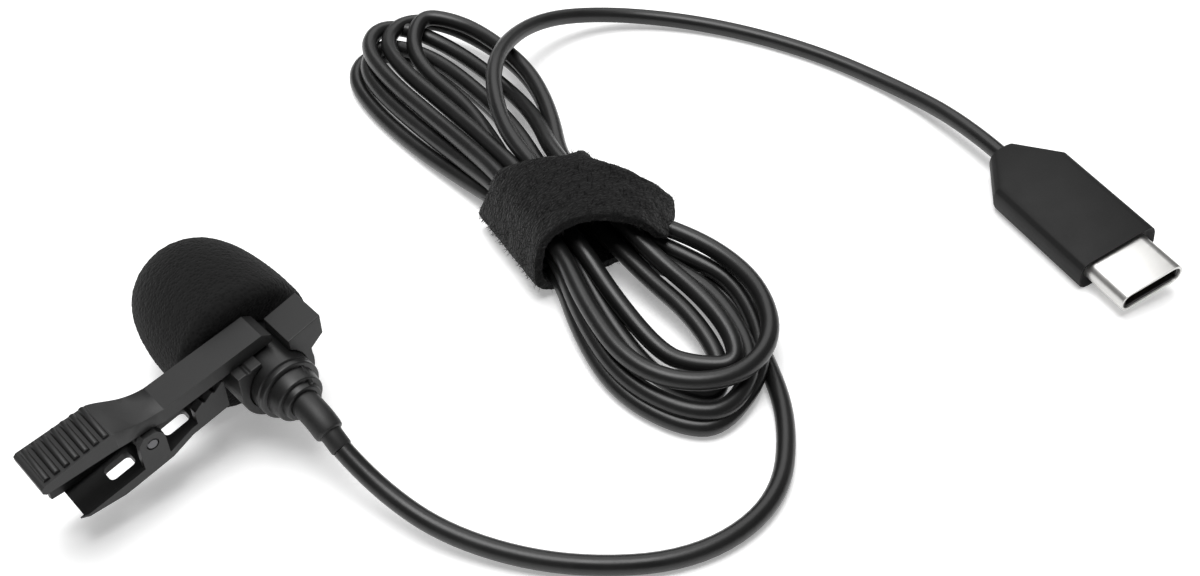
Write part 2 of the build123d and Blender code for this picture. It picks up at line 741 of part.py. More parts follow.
INSULATOR_W, INSULATOR_T = SHELL_W - 2 * SHELL_WALL, SHELL_T - 2 * SHELL_WALL
with BuildPart() as insulator:
    with BuildSketch(plug_plane(SHELL_BACK)):
        RectangleRounded(INSULATOR_W, INSULATOR_T, INSULATOR_T / 2 - 0.01)
    extrude(amount=SHELL_TIP - 0.2 - SHELL_BACK)
    with BuildSketch(plug_plane(TONGUE_BACK)):
        Rectangle(6.9, 1.3)
    extrude(amount=7.0, mode=Mode.SUBTRACT)
save(insulator.part, "plug_insulator")

for side, name in ((1, "upper"), (-1, "lower")):
    with BuildPart() as contacts:
        with BuildSketch(plug_plane(TONGUE_BACK)):
            with Locations((0, side * 0.53)):
                with GridLocations(0.5, 0, 12, 1):
                    Rectangle(0.26, 0.16)
        extrude(amount=5.6)
    save(contacts.part, f"plug_contacts_{name}")

with BuildPart() as latches:
    with BuildSketch(plug_plane(TONGUE_BACK)):
        with GridLocations(6.6, 0, 2, 1):
            Rectangle(0.22, 0.7)
    extrude(amount=5.4)
save(latches.part, "plug_latch_springs")

with BuildPart() as board:
    with BuildSketch(plug_plane(1.4)):
        Rectangle(BOARD_W, BOARD_T)
    extrude(amount=SHELL_BACK - 1.5)
save(board.part, "plug_board")

with BuildPart() as chip:
    with BuildSketch(PLUG.offset(BOARD_T / 2)):
        with Locations((5.0, 0)):
            Rectangle(3.0, 3.0)
    extrude(amount=0.75)
save(chip.part, "plug_adc_chip")

with BuildPart() as passives:
    with BuildSketch(PLUG.offset(BOARD_T / 2)):
        with Locations((5.0, 0)):
            with GridLocations(2.2, 5.4, 3, 2):
                Rectangle(1.0, 0.5)
    extrude(amount=0.5)
save(passives.part, "plug_passives")
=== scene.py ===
"""Looks of a lavalier microphone: foam, clip, tied hank of thin cord and USB-C plug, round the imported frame.

Lengths are in metres and places are in the frame's own axes, with +Z up from the table.
"""

import logging
import math
import random
from dataclasses import dataclass
from enum import Enum
from functools import cache
from typing import Sequence

import bmesh
import bpy
from mathutils import Matrix, Vector, noise


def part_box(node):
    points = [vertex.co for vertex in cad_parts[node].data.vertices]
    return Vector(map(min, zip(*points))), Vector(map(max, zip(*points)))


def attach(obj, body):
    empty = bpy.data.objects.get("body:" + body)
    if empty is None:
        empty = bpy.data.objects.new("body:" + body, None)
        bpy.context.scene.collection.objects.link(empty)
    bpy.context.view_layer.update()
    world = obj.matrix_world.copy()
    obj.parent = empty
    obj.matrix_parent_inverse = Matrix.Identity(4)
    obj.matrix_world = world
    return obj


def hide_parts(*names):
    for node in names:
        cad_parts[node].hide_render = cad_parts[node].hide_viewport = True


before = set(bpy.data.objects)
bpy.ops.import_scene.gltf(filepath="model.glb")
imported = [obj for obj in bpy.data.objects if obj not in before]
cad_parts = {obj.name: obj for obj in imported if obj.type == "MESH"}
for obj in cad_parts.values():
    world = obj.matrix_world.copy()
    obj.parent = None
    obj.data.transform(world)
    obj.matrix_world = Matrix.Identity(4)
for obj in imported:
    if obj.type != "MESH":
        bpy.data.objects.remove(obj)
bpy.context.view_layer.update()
MM = 0.001
Point = tuple[float, float, float]
log = logging.getLogger("lavalier")


class Body(str, Enum):
    """The moving bodies of the frame."""

    MICROPHONE = "microphone"
    CLIP = "clip"
    JAW = "jaw"
    WINDSCREEN = "windscreen"


# ---------------------------------------------------------------- shader helpers


@dataclass(frozen=True)
class Signal:
    """A value that varies over a surface: one output of a shader node."""

    shader: "Shader"
    out: bpy.types.NodeSocket | None

    def math(self, operation: str, first: "Signal | float", second: "Signal | float") -> "Signal":
        """Adds one Math node.

        Args:
            operation: the Math node's operation.
            first: its first number.
            second: its second number.

        Returns:
            The node's result.
        """
        return self.shader.node("ShaderNodeMath", {"operation": operation}, {0: first, 1: second})

    def __add__(self, other: "Signal | float") -> "Signal":
        """This value plus another."""
        return self.math("ADD", self, other)

    def __radd__(self, other: float) -> "Signal":
        """A number plus this value."""
        return self.math("ADD", other, self)

    def __sub__(self, other: "Signal | float") -> "Signal":
        """This value less another."""
        return self.math("SUBTRACT", self, other)

    def __rsub__(self, other: float) -> "Signal":
        """A number less this value."""
        return self.math("SUBTRACT", other, self)

    def __mul__(self, other: "Signal | float") -> "Signal":
        """This value times another."""
        return self.math("MULTIPLY", self, other)

    def __rmul__(self, other: float) -> "Signal":
        """A number times this value."""
        return self.math("MULTIPLY", other, self)


class Shader:
    """One material's nodes, and the ways of filling them that the finishes share."""

    def __init__(self, name: str) -> None:
        """Starts an empty material.

        Args:
            name: the material's name.
        """
        self.material = bpy.data.materials.new(name)
        self.material.use_nodes = True
        self.tree = self.material.node_tree
        self.tree.nodes.clear()

    def node(
        self,
        kind: str,
        settings: dict | None = None,
        inputs: dict | None = None,
        output: int | str = 0,
    ) -> Signal:
        """Adds one node.

        Args:
            kind: the node's type.
            settings: its own settings, such as an operation or a ramp's stops.
            inputs: values or signals for its sockets, by name or number.
            output: which output is wanted.

        Returns:
            That output, or None inside the signal for a node that has none.
        """
        made = self.tree.nodes.new(kind)
        for key, value in (settings or {}).items():
            if key == "stops":
                stops = made.color_ramp.elements
                for _ in value[2:]:
                    stops.new(0.5)
                for stop, (position, level) in zip(stops, value):
                    stop.position = position
                    stop.color = (level, level, level, 1)
            else:
                setattr(made, key, value)
        for key, value in (inputs or {}).items():
            if isinstance(value, Signal):
                self.tree.links.new(value.out, made.inputs[key])
            else:
                made.inputs[key].default_value = value
        return Signal(self, made.outputs[output] if made.outputs else None)

    def place(self, stretch: Point = (1, 1, 1), turn: Point = (0, 0, 0)) -> Signal:
        """A point in the object's own space.

        Args:
            stretch: how much finer a pattern gets along each axis.
            turn: how far the pattern is turned about each axis, in radians.

        Returns:
            The point that a pattern reads.
        """
        own = self.node("ShaderNodeTexCoord", output="Object")
        return self.node("ShaderNodeMapping", {}, {"Vector": own, "Scale": stretch, "Rotation": turn})

    def clouds(self, place: Signal, scale: float, detail: float = 3.0, rough: float = 0.55) -> Signal:
        """Soft random variation, about 0.5.

        Args:
            place: the point that it reads.
            scale: features for each metre.
            detail: how many finer layers it has.
            rough: how strong those layers are.

        Returns:
            The variation, from 0 to 1.
        """
        values = {"Vector": place, "Scale": scale, "Detail": detail, "Roughness": rough}
        return self.node("ShaderNodeTexNoise", {}, values, "Fac")

    def cells(self, place: Signal, scale: float, feature: str = "F1") -> Signal:
        """Distance within random cells.

        Args:
            place: the point that it reads.
            scale: cells for each metre.
            feature: which distance.

        Returns:
            The distance, from 0 at a cell's middle.
        """
        values = {"Vector": place, "Scale": scale}
        return self.node("ShaderNodeTexVoronoi", {"feature": feature}, values, "Distance")

    def ramp(self, value: Signal, *stops: tuple[float, float]) -> Signal:
        """A grey ramp through some stops.

        Args:
            value: what it reads.
            stops: pairs of position and level.

        Returns:
            The level.
        """
        return self.node("ShaderNodeValToRGB", {"stops": stops}, {0: value})

    def blend(self, share: Signal, first: Point, second: Point) -> Signal:
        """A colour between two.

        Args:
            share: 0 for the first, 1 for the second.
            first: a linear colour.
            second: a linear colour.

        Returns:
            The mixed colour.
        """
        values = {0: share, 6: (*first, 1), 7: (*second, 1)}
        return self.node("ShaderNodeMix", {"data_type": "RGBA"}, values, 2)

    def relief(self, height: Signal, depth: float, strength: float = 1.0) -> Signal:
        """Fine relief.

        Args:
            height: from 0 to 1.
            depth: the height of 1, in metres.
            strength: how much of it is felt.

        Returns:
            The normal.
        """
        values = {"Height": height, "Distance": depth, "Strength": strength}
        return self.node("ShaderNodeBump", {}, values)

    def close(self, **values: "Signal | float | tuple") -> bpy.types.Material:
        """Ends the material in one Principled shader.

        Args:
            values: its sockets, with an underscore for each space.

        Returns:
            The finished material.
        """
        sockets = {key.replace("_", " "): value for key, value in values.items()}
        surface = self.node("ShaderNodeBsdfPrincipled", {}, sockets)
        self.node("ShaderNodeOutputMaterial", {}, {"Surface": surface})
        return self.material


def grey(level: float, warm: float = 0.0) -> Point:
    """A near-neutral linear colour.

    Args:
        level: its lightness.
        warm: how far red rises above blue, as a share.

    Returns:
        The colour.
    """
    return (level * (1 + warm), level, level * (1 - warm))


# ---------------------------------------------------------------- finishes


@dataclass(frozen=True)
class MouldedPlastic:
    """Spark-eroded satin plastic: a fine even grain with slight handling polish."""

    name: str
    colour: Point
    roughness: float = 0.5
    grain: float = 7000.0
    depth: float = 0.006 * MM
    specular: float = 0.5

    @cache
    def material(self) -> bpy.types.Material:
        """Makes the material once."""
        shader = Shader(self.name)
        place = shader.place()
        fine = shader.clouds(place, self.grain, 2.0)
        handled = shader.clouds(place, 260.0, 3.0)
        dark = tuple(level * 0.82 for level in self.colour)
        light = tuple(level * 1.2 for level in self.colour)
        return shader.close(
            Base_Color=shader.blend(handled * 0.7 + fine * 0.3, dark, light),
            Roughness=handled * 0.16 + fine * 0.1 + (self.roughness - 0.13),
            Normal=shader.relief(fine, self.depth, 0.6),
            Specular_IOR_Level=self.specular,
        )


@dataclass(frozen=True)
class CordJacket:
    """Extruded soft vinyl: semi-gloss, with a faint drawn texture and a few scuffs."""

    name: str
    colour: Point
    roughness: float = 0.36

    @cache
    def material(self) -> bpy.types.Material:
        """Makes the material once."""
        shader = Shader(self.name)
        place = shader.place()
        skin = shader.clouds(place, 5200.0, 3.0)
        drift = shader.clouds(place, 180.0, 2.0)
        dull = tuple(level * 0.75 for level in self.colour)
        worn = tuple(level * 1.3 for level in self.colour)
        return shader.close(
            Base_Color=shader.blend(drift * 0.8 + skin * 0.2, dull, worn),
            Roughness=drift * 0.2 + skin * 0.12 + (self.roughness - 0.16),
            Normal=shader.relief(skin, 0.007 * MM, 0.5),
            Specular_IOR_Level=0.46,
            Coat_Weight=shader.ramp(drift, (0.45, 0.0), (0.8, 0.12)),
            Coat_Roughness=0.3,
        )


@dataclass(frozen=True)
class OpenCellFoam:
    """Soot-dark reticulated foam with no gloss: open pits between pale struts, with shade painted darker down
    in the pits.
    """

    name: str
    # pit is painted shade, the colour down in the cells' hollows; strut is the foam's own colour
    pit: Point
    strut: Point
    cells_per_metre: float

    @cache
    def material(self) -> bpy.types.Material:
        """Makes the material once."""
        shader = Shader(self.name)
        place = shader.place()
        coarse = shader.ramp(shader.cells(place, self.cells_per_metre), (0.12, 0.0), (0.62, 1.0))
        fine = shader.clouds(place, self.cells_per_metre * 3.1, 3.0, 0.7)
        patch = shader.clouds(place, 420.0, 2.0)
        height = coarse * 0.65 + fine * 0.35
        return shader.close(
            # Painted shade: the colour darkens into the cells' pits and lightens on the struts, following the
            # relief, with random patches of tone
            Base_Color=shader.blend(height * 0.7 + patch * 0.3, self.pit, self.strut),
            Roughness=0.96,
            Normal=shader.relief(height, 0.1 * MM, 0.8),
            Specular_IOR_Level=0.12,
            Sheen_Weight=0.05,
            Sheen_Roughness=0.6,
        )


@dataclass(frozen=True)
class LoopPile:
    """Brushed hook-and-loop tape: matted loops with tufts and thin places, with shade painted between the
    loops.
    """

    name: str
    # shade is painted shade between the loops, and also the colour of worn thin places; tuft is the pile's own
    # colour
    shade: Point
    tuft: Point

    @cache
    def material(self) -> bpy.types.Material:
        """Makes the material once."""
        shader = Shader(self.name)
        place = shader.place((1, 1.6, 1), (0, 0, 0.5))
        loops = shader.ramp(shader.cells(place, 2300.0, "SMOOTH_F1"), (0.1, 1.0), (0.6, 0.0))
        matted = shader.clouds(place, 5200.0, 4.0, 0.75)
        worn = shader.clouds(place, 330.0, 2.0)
        height = loops * 0.5 + matted * 0.5
        return shader.close(
            # Painted shade: the colour darkens between the loops, following the relief; the random worn share
            # marks real thin places
            Base_Color=shader.blend(height * 0.6 + worn * 0.4, self.shade, self.tuft),
            Roughness=1.0,
            Normal=shader.relief(height, 0.2 * MM, 0.8),
            Specular_IOR_Level=0.15,
            Sheen_Weight=0.12,
            Sheen_Roughness=0.5,
        )


@dataclass(frozen=True)
class Metal:
    """Plated, drawn or turned metal, with hairlines along one axis."""

    name: str
    colour: Point
    roughness: float = 0.3
    hairline: Point = (1, 1, 1)
    scale: float = 900.0

    @cache
    def material(self) -> bpy.types.Material:
        """Makes the material once."""
        shader = Shader(self.name)
        lines = shader.clouds(shader.place(self.hairline), self.scale, 4.0, 0.65)
        patina = shader.clouds(shader.place(), 300.0, 2.0)
        dull = tuple(level * 0.84 for level in self.colour)
        return shader.close(
            Base_Color=shader.blend(lines * 0.5 + patina * 0.5, dull, self.colour),
            Metallic=1.0,
            Roughness=lines * 0.14 + patina * 0.12 + (self.roughness - 0.13),
            Normal=shader.relief(lines, 0.004 * MM, 0.4),
        )


# The foam's first colour is painted shade in its cells' pits; its second is the foam's own colour
FOAM = OpenCellFoam("foam", grey(0.0028), grey(0.011), 2900.0)
HOUSING = MouldedPlastic("housing_black", grey(0.006), 0.42, 8000.0, 0.005 * MM)
CLIP_BLACK = MouldedPlastic("clip_black", grey(0.0098), 0.48, 6500.0, 0.006 * MM, 0.44)
PLUG_BLACK = MouldedPlastic("plug_black", grey(0.0055), 0.62, 6000.0, 0.012 * MM, 0.28)
SLEEVE_BLACK = MouldedPlastic("sleeve_black", grey(0.008), 0.52, 7600.0, 0.006 * MM)
CORD_BLACK = CordJacket("cord_black", grey(0.0065))
# The strap's first colour is painted shade between its loops, and also the colour of worn thin places
PILE = LoopPile("hook_loop", grey(0.003), grey(0.014))
FIBRE = MouldedPlastic("pile_fibre", grey(0.01), 0.8, 3000.0, 0.001 * MM, 0.2)
SHELL_STEEL = Metal("shell_steel", (0.64, 0.635, 0.62), 0.38, (0.25, 5.0, 5.0))
PIN_STEEL = Metal("pin_steel", (0.13, 0.13, 0.135), 0.4, (1, 9, 1))
ALUMINIUM = Metal("can_aluminium", (0.78, 0.79, 0.8), 0.3, (1, 6, 1))
BRASS = Metal("brass", (0.78, 0.57, 0.24), 0.28, (6, 1, 6))
FILM = Metal("film", (0.62, 0.6, 0.55), 0.2, (1, 1, 1), 500.0)
GRILLE = MouldedPlastic("grille_black", grey(0.018), 0.38, 9000.0)
# The felt's first colour is painted shade between its loops
FELT = LoopPile("felt", grey(0.01), grey(0.035))
INSULATOR = MouldedPlastic("insulator_black", grey(0.012), 0.55)
BOARD = MouldedPlastic("board_green", (0.012, 0.09, 0.035), 0.36, 3000.0, 0.003 * MM)
CHIP = MouldedPlastic("chip_black", grey(0.02), 0.6, 9000.0)
GASKET = MouldedPlastic("gasket", grey(0.03), 0.85, 4000.0, 0.01 * MM, 0.2)
WIRE = MouldedPlastic("wire_jacket", (0.3, 0.035, 0.025), 0.4)

NODE_FINISHES = {
    "front_housing": HOUSING,
    "capsule_grille": GRILLE,
    "dust_felt": FELT,
    "capsule_can": ALUMINIUM,
    "diaphragm_ring": BRASS,
    "diaphragm": FILM,
    "spacer_ring": INSULATOR,
    "capsule_insulator": INSULATOR,
    "fet_board": BOARD,
    "fet_chip": CHIP,
    "capsule_gasket": GASKET,
    "backplate": BRASS,
    "cable_crimp": ALUMINIUM,
    "signal_wires": WIRE,
    "clip_upper_lever": CLIP_BLACK,
    "mic_holder_ring": CLIP_BLACK,
    "clip_lower_lever": CLIP_BLACK,
    "hinge_pin": PIN_STEEL,
    "torsion_spring": PIN_STEEL,
    "plug_insulator": INSULATOR,
    "plug_contacts_upper": BRASS,
    "plug_contacts_lower": BRASS,
    "plug_latch_springs": SHELL_STEEL,
    "plug_board": BOARD,
    "plug_adc_chip": CHIP,
    "plug_passives": ALUMINIUM,
}
SOFTENED = {"clip_upper_lever": 0.09 * MM, "mic_holder_ring": 0.1 * MM, "clip_lower_lever": 0.07 * MM}


# ---------------------------------------------------------------- mesh helpers


def middle(node: str) -> Vector:
    """The middle of a CAD node's box.

    Args:
        node: the node's name.

    Returns:
        The point.
    """
    low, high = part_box(node)
    return (low + high) / 2


def between(first: float, second: float, share: float) -> float:
    """A number part of the way from one to another.

    Args:
        first: where it starts.
        second: where it ends.
        share: how far along, from 0 to 1.

    Returns:
        The number.
    """
    return first + (second - first) * share


def finished(
    form: bmesh.types.BMesh,
    name: str,
    finish: MouldedPlastic | CordJacket | OpenCellFoam | LoopPile | Metal,
    body: Body,
    crease: float = 35.0,
) -> bpy.types.Object:
    """Turns a finished form into a piece of the object.

    Args:
        form: the form, which is freed.
        name: the piece's name.
        finish: what it is made of.
        body: the body that it moves with.
        crease: the angle in degrees past which an edge stays sharp.

    Returns:
        The piece.
    """
    mesh = bpy.data.meshes.new(name)
    form.to_mesh(mesh)
    form.free()
    mesh.materials.append(finish.material())
    mesh.shade_smooth()
    mesh.set_sharp_from_angle(angle=math.radians(crease))
    piece = bpy.data.objects.new(name, mesh)
    bpy.context.scene.collection.objects.link(piece)
    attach(piece, body.value)
    log.info("%s: %d faces on %s", name, len(mesh.polygons), body.value)
    return piece


def rounded(form: bmesh.types.BMesh, edges: list, width: float, segments: int = 3) -> dict:
    """Rounds some edges.

    Args:
        form: the form.
        edges: the edges.
        width: how far the round reaches from each edge.
        segments: how many strips it has.

    Returns:
        What the operator returns.
    """
    return bmesh.ops.bevel(
        form,
        geom=edges,
        offset=width,
        offset_type="OFFSET",
        segments=segments,
        profile=0.5,
        affect="EDGES",
        material=-1,
        clamp_overlap=True,
    )


def turned(profile: Sequence[tuple[float, float]], centre: Vector, steps: int) -> bmesh.types.BMesh:
    """A solid of revolution about the microphone's axis.

    Args:
        profile: pairs of place along the axis and radius, closed if it starts and ends off the axis.
        centre: a point on the axis.
        steps: how many steps go round.

    Returns:
        The closed form, with its faces outwards.
    """
    form = bmesh.new()
    line = [form.verts.new((centre.x + radius, along, centre.z)) for along, radius in profile]
    if min(profile[0][1], profile[-1][1]) > 1e-7:
        line.append(line[0])
    edges = [form.edges.new(pair) for pair in zip(line, line[1:])]
    points = list(dict.fromkeys(line))
    bmesh.ops.spin(
        form,
        geom=[*points, *edges],
        cent=centre,
        axis=(0, 1, 0),
        angle=math.tau,
        steps=steps,
        use_merge=True,
    )
    bmesh.ops.remove_doubles(form, verts=form.verts, dist=0.0005 * MM)
    bmesh.ops.recalc_face_normals(form, faces=form.faces)
    return form


def corner(along: float, radius: float, start: float, sweep: float, size: float, steps: int = 5) -> list:
    """A round corner of a turned profile.

    Args:
        along: the arc's middle along the axis.
        radius: the arc's middle out from the axis.
        start: the angle where it starts, in degrees from straight along the axis.
        sweep: how far it turns, in degrees.
        size: its radius.
        steps: how many strips it has.

    Returns:
        Points of the profile.
    """
    angles = [math.radians(start + sweep * step / steps) for step in range(steps + 1)]
    return [(along + size * math.cos(a), radius + size * math.sin(a)) for a in angles]


# ---------------------------------------------------------------- studio


@dataclass
class Studio:
    """A plain pale table, soft light and the camera."""

    target: Point = (0.0452, -0.0117, 0.0)
    azimuth: float = -43.0
    elevation: float = 45.0
    distance: float = 0.1669
    lens: float = 45.0
    table: float = 3.0

    def build(self) -> None:
        """Makes the table, the lights and the camera."""
        self.floor()
        self.light("sky_panel", (0.0, 0.05, 0.6), 0.38, 3.55, (0.05, 0.0, 0.0))
        self.light("far_panel", (0.28, 0.25, 0.36), 0.4, 0.8, (0.05, 0.0, 0.0))
        world = bpy.data.worlds.new("studio")
        world.use_nodes = True
        background = world.node_tree.nodes["Background"]
        background.inputs["Color"].default_value = (1, 1, 1, 1)
        background.inputs["Strength"].default_value = 0.19
        bpy.context.scene.world = world
        bpy.context.scene.view_settings.view_transform = "Standard"
        self.camera()

    def floor(self) -> None:
        """Makes the table top."""
        form = bmesh.new()
        bmesh.ops.create_grid(form, x_segments=1, y_segments=1, size=self.table / 2)
        mesh = bpy.data.meshes.new("table_top")
        form.to_mesh(mesh)
        form.free()
        shader = Shader("table_paper")
        tooth = shader.clouds(shader.place(), 900.0, 3.0)
        mesh.materials.append(
            shader.close(
                Base_Color=shader.blend(tooth, grey(0.90), grey(0.93)),
                Roughness=0.9,
                Specular_IOR_Level=0.2,
                Emission_Color=(1, 1, 1, 1),
                Emission_Strength=0.3,
            )
        )
        top = bpy.data.objects.new("table_top", mesh)
        bpy.context.scene.collection.objects.link(top)

    def light(self, name: str, place: Point, size: float, power: float, aim: Point) -> None:
        """Makes one soft panel.

        Args:
            name: its name.
            place: where it hangs.
            size: the side of its square.
            power: its strength.
            aim: what it faces.
        """
        lamp = bpy.data.lights.new(name, "AREA")
        lamp.shape = "SQUARE"
        lamp.size = size
        lamp.energy = power
        holder = bpy.data.objects.new(name, lamp)
        holder.location = place
        holder.rotation_euler = (Vector(aim) - Vector(place)).to_track_quat("-Z", "Y").to_euler()
        bpy.context.scene.collection.objects.link(holder)

    def camera(self) -> None:
        """Makes the camera."""
        turn, rise = math.radians(self.azimuth), math.radians(self.elevation)
        back = Vector(
            (math.sin(turn) * math.cos(rise), -math.cos(turn) * math.cos(rise), math.sin(rise))
        )
        data = bpy.data.cameras.new("camera")
        data.lens = self.lens
        data.clip_start = 0.01
        data.clip_end = 10.0
        holder = bpy.data.objects.new("camera", data)
        holder.location = Vector(self.target) + back * self.distance
        holder.rotation_euler = (-back).to_track_quat("-Z", "Y").to_euler()
        bpy.context.scene.collection.objects.link(holder)
        bpy.context.scene.camera = holder


# ---------------------------------------------------------------- cord


@dataclass(frozen=True)
class Waist:
    """The narrow middle of the hank, where the tie holds it."""

    centre: tuple[float, float] = (47.6 * MM, -3.0 * MM)
    turn: float = math.radians(-12.0)
    reach: float = 6.4 * MM
    levels: Point = (2.55 * MM, 4.55 * MM, 6.55 * MM)

    def point(self, across: float, along: float, height: float) -> Point:
        """A point in the waist's own directions.

        Args:
            across: how far right of the middle.
            along: how far towards the far loop.
            height: how far up.

        Returns:
            The point in the frame.
        """
        cosine, sine = math.cos(self.turn), math.sin(self.turn)
        return (
            self.centre[0] + across * cosine - along * sine,
            self.centre[1] + across * sine + along * cosine,
            height,
        )


@dataclass(frozen=True)
class Turn:
    """One turn of the hank in millimetres: right side, far loop, left side, near loop.

    Each side is (x, height), each tip (x, y, height), and each pass through the tie (across, level).
    """

    near_right: tuple[float, float]
    waist_right: tuple[float, int]
    far_right: tuple[float, float]
    far_tip: Point
    far_left: tuple[float, float]
    waist_left: tuple[float, int]
    near_left: tuple[float, float]
    near_tip: Point

    def points(self, waist: Waist) -> list[Point]:
        """The turn's control points.

        Args:
            waist: where the turns are tied.

        Returns:
            The points in metres, in order.
        """
        reach = waist.reach / MM
        heights = [level / MM for level in waist.levels]

        def tied(side: tuple[float, int], along: float, spread: float = 0.0) -> Point:
            """A pass through the tie, in millimetres."""
            at = waist.point((side[0] + spread) * MM, along * MM, heights[side[1]] * MM)
            return (at[0] / MM, at[1] / MM, at[2] / MM)

        right_in, right_out = tied(self.waist_right, -reach, 0.8), tied(self.waist_right, reach)
        left_in, left_out = tied(self.waist_left, reach), tied(self.waist_left, -reach)
        (near_x, near_z), (far_x, far_z) = self.near_right, self.far_right
        (left_x, left_z), (home_x, home_z) = self.far_left, self.near_left
        tip_x, tip_y, tip_z = self.far_tip
        end_x, end_y, end_z = self.near_tip
        route = [
            (near_x, -23.5, near_z),
            (between(near_x, right_in[0], 0.35), -16.5, between(near_z, right_in[2], 0.25)),
            right_in,
            right_out,
            (between(right_out[0], far_x, 0.62), 11.5, between(right_out[2], far_z, 0.5)),
            (far_x, 20.5, far_z),
            (far_x + 0.5, 30.0, far_z),
            (between(tip_x, far_x, 0.72), tip_y - 2.6, between(tip_z, far_z, 0.5)),
            self.far_tip,
            (between(tip_x, left_x, 0.62), tip_y - 2.9, between(tip_z, left_z, 0.5)),
            (left_x + 0.6, 29.5, left_z),
            (left_x, 20.0, left_z),
            (between(left_in[0], left_x, 0.5), 10.5, between(left_in[2], left_z, 0.5)),
            left_in,
            left_out,
            (between(left_out[0], home_x, 0.67), -17.0, between(left_out[2], home_z, 0.6)),
            (home_x, -25.0, home_z),
            (between(home_x, end_x, 0.3), end_y + 3.2, between(home_z, end_z, 0.5)),
            self.near_tip,
        ]
        return [(x * MM, y * MM, z * MM) for x, y, z in route]


@dataclass
class Cord:
    """The thin vinyl cord: microphone lead, tied hank and plug lead, one length end to end."""

    diameter: float = 2.0 * MM
    length: float = 1.0
    mic_lead: tuple[Point, ...] = (
        (0.0084, -0.0151, 0.005795),
        (0.0088, -0.0196, 0.0037),
        (0.0111, -0.0281, 0.0019),
        (0.0172, -0.0374, 0.00105),
        (0.0266, -0.0450, 0.00105),
        (0.0372, -0.0458, 0.00105),
        (0.0456, -0.0394, 0.00105),
        (0.0506, -0.0312, 0.00105),
    )
    plug_lead: tuple[Point, ...] = (
        (0.093577, -0.030116, 0.00279),
        (0.0952, -0.0232, 0.0028),
        (0.0967, -0.0125, 0.0012),
        (0.0948, 0.0008, 0.00105),
        (0.0894, 0.0140, 0.00105),
        (0.0806, 0.0242, 0.0018),
        (0.0694, 0.0268, 0.0048),
        (0.0576, 0.0213, 0.0078),
        (0.0503, 0.0114, 0.0076),
        (0.0484, 0.0026, 0.0066),
    )
    last_rise: tuple[Point, ...] = (
        (0.0502, -0.0328, 0.0048),
        (0.0545, -0.0270, 0.0048),
        (0.0555, -0.0200, 0.0048),
        (0.0534, -0.0132, 0.0054),
        (0.0492, -0.0080, 0.00655),
        (0.0479, -0.0030, 0.00655),
    )
    turns: tuple[Turn, ...] = (
        Turn((54.1, 1.1), (1.6, 0), (56.4, 1.1), (51.0, 39.4, 1.1), (44.6, 1.1), (-4.3, 0), (35.4, 1.1),
             (40.2, -35.7, 1.1)),
        Turn((54.9, 2.8), (3.5, 1), (62.5, 4.2), (59.0, 37.3, 4.8), (52.6, 3.2), (-2.4, 1), (39.7, 1.2),
             (42.4, -32.6, 1.4)),
        Turn((47.4, 3.2), (1.2, 1), (55.6, 3.0), (52.4, 38.6, 2.4), (46.0, 2.8), (-4.3, 1), (36.1, 2.5),
             (41.3, -35.4, 2.5)),
        Turn((51.7, 3.0), (3.6, 0), (63.1, 2.3), (57.4, 39.5, 3.6), (49.4, 5.0), (-2.2, 2), (41.6, 2.4),
             (45.8, -31.8, 3.0)),
        Turn((49.3, 4.4), (2.6, 2), (59.5, 2.0), (54.2, 40.1, 4.0), (47.2, 4.6), (-4.3, 2), (36.6, 4.8),
             (44.0, -34.2, 4.8)),
    )

    def route(self) -> list[Point]:
        """All control points, from the microphone to the plug."""
        waist = Waist()
        points = list(self.mic_lead)
        for turn, following in zip(self.turns, [*self.turns[1:], None]):
            points += turn.points(waist)
            if following is not None:
                x, y, z = (value * MM for value in turn.near_tip)
                right_x, right_z = (value * MM for value in following.near_right)
                points.append((between(x, right_x, 0.65), y + 2.8 * MM, between(z, right_z, 0.5)))
        return [*points, *self.last_rise, *reversed(self.plug_lead)]

    def build(self, plug_pieces: list[bpy.types.Object]) -> bpy.types.Object:
        """Makes the cord.

        Args:
            plug_pieces: the pieces of the plug on its end; not used.

        Returns:
            The cord.
        """
        points = self.route()
        curve = bpy.data.curves.new("cord", "CURVE")
        curve.dimensions = "3D"
        curve.bevel_depth = self.diameter / 2
        curve.bevel_resolution = 5
        curve.resolution_u = 8
        curve.use_fill_caps = True
        spline = curve.splines.new("NURBS")
        spline.points.add(len(points) - 1)
        for control, place in zip(spline.points, points):
            control.co = (*place, 1)
        spline.order_u = 3
        spline.use_endpoint_u = True
        curve.materials.append(CORD_BLACK.material())
        piece = bpy.data.objects.new("cord", curve)
        bpy.context.scene.collection.objects.link(piece)
        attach(piece, Body.MICROPHONE.value)
        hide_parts("cord_mic_lead", "cord_hank", "cord_plug_lead")
        log.info("cord: %d control points", len(points))
        return piece


# ---------------------------------------------------------------- tie strap


@dataclass(frozen=True)
class StrapStation:
    """The strap's middle at one place, in the waist's directions and millimetres, and its turn in degrees."""

    across: float
    along: float
    height: float
    skew: float = 0.0
    width: float = 13.0


